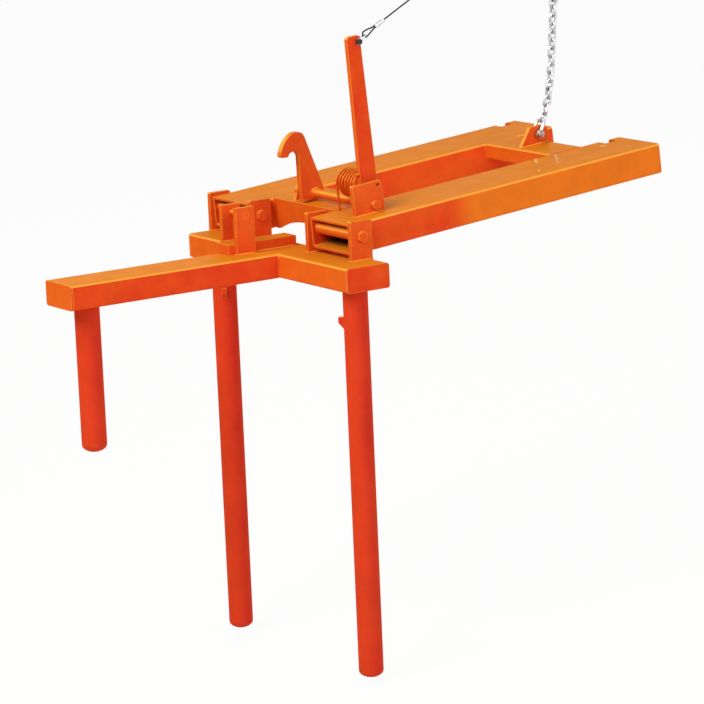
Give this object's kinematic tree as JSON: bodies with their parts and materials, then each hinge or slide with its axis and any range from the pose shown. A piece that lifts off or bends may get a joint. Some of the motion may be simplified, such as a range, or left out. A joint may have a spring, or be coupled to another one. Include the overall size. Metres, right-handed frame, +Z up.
{
  "type": "drum rotator",
  "caption": "Fork-mounted drum rotator: twin fork pockets carry a hinged T-shaped head with posts for a drum, a sprung latch hook with release lever and cord, and a safety chain.",
  "frame": {"origin": "midway between the rear mouths of the two fork pockets, level with the pockets' ceilings, which rest on the forks", "axes": "+X across the forks towards the release lever's side, +Y back along the pockets towards the truck, +Z up"},
  "size_m": [0.728, 1.587, 1.6338],
  "materials": {
    "orange_paint": "gloss enamel",
    "galvanised": "galvanised",
    "wire_rope": "stranded steel wire"
  },
  "bodies": {
    "fork_frame": {"left_fork_pocket": "orange_paint", "right_fork_pocket": "orange_paint", "left_pivot_tube": "orange_paint", "right_pivot_tube": "orange_paint", "front_cross_member": "orange_paint", "rear_cross_member": "orange_paint", "chain_lug": "orange_paint", "left_shaft_bracket": "orange_paint", "right_shaft_bracket": "orange_paint"},
    "tilt_head": {"cross_beam": "orange_paint", "left_beam_cap": "orange_paint", "right_beam_cap": "orange_paint", "centre_arm": "orange_paint", "arm_cap": "orange_paint", "left_outer_ear": "orange_paint", "left_inner_ear": "orange_paint", "right_inner_ear": "orange_paint", "right_outer_ear": "orange_paint", "left_hinge_bolt": "orange_paint", "right_hinge_bolt": "orange_paint", "hinge_nuts": "orange_paint", "pivot_washers": "orange_paint", "left_long_post": "orange_paint", "right_long_post": "orange_paint", "short_post": "orange_paint", "drum_nibs": "orange_paint", "catch_base_bar": "orange_paint", "left_catch_plate": "orange_paint", "right_catch_plate": "orange_paint", "catch_rod": "orange_paint"},
    "latch": {"latch_shaft": "orange_paint", "latch_hook": "orange_paint", "release_lever": "orange_paint", "shaft_collar": "orange_paint", "shaft_spacer": "orange_paint", "spring_hub": "orange_paint", "return_spring": "orange_paint"},
    "cord_end": {"cord_shackle": "galvanised", "cord_shackle_pin": "galvanised", "cord_eye": "galvanised", "cord_ferrule": "galvanised", "pull_cord": "wire_rope", "end_ferrule": "galvanised", "pull_ring": "galvanised"},
    "chain_set": {"lug_shackle": "galvanised", "lug_shackle_pin": "galvanised", "safety_chain": "galvanised", "chain_end_link": "galvanised"}
  },
  "joints": [
    {"name": "head_tilt", "type": "hinge", "parent": "fork_frame", "child": "tilt_head", "pos_m": [0, -0.915, -0.025], "axis": [-1, 0, 0], "range_deg": [-5, 82]},
    {"name": "latch_turn", "type": "hinge", "parent": "fork_frame", "child": "latch", "pos_m": [0, -0.825, 0.025], "axis": [-1, 0, 0], "range_deg": [-8, 20], "stiffness_Nm_per_rad": 12, "springref_deg": -8, "deforming": ["return_spring"]},
    {"name": "cord_swing", "type": "hinge", "parent": "latch", "child": "cord_end", "pos_m": [0.234, -0.809, 0.417], "axis": [-1, 0, 0], "range_deg": [-25, 30]},
    {"name": "chain_swing", "type": "hinge", "parent": "fork_frame", "child": "chain_set", "pos_m": [0, -0.15, 0.033], "axis": [-1, 0, 0], "range_deg": [-50, 16]}
  ]
}
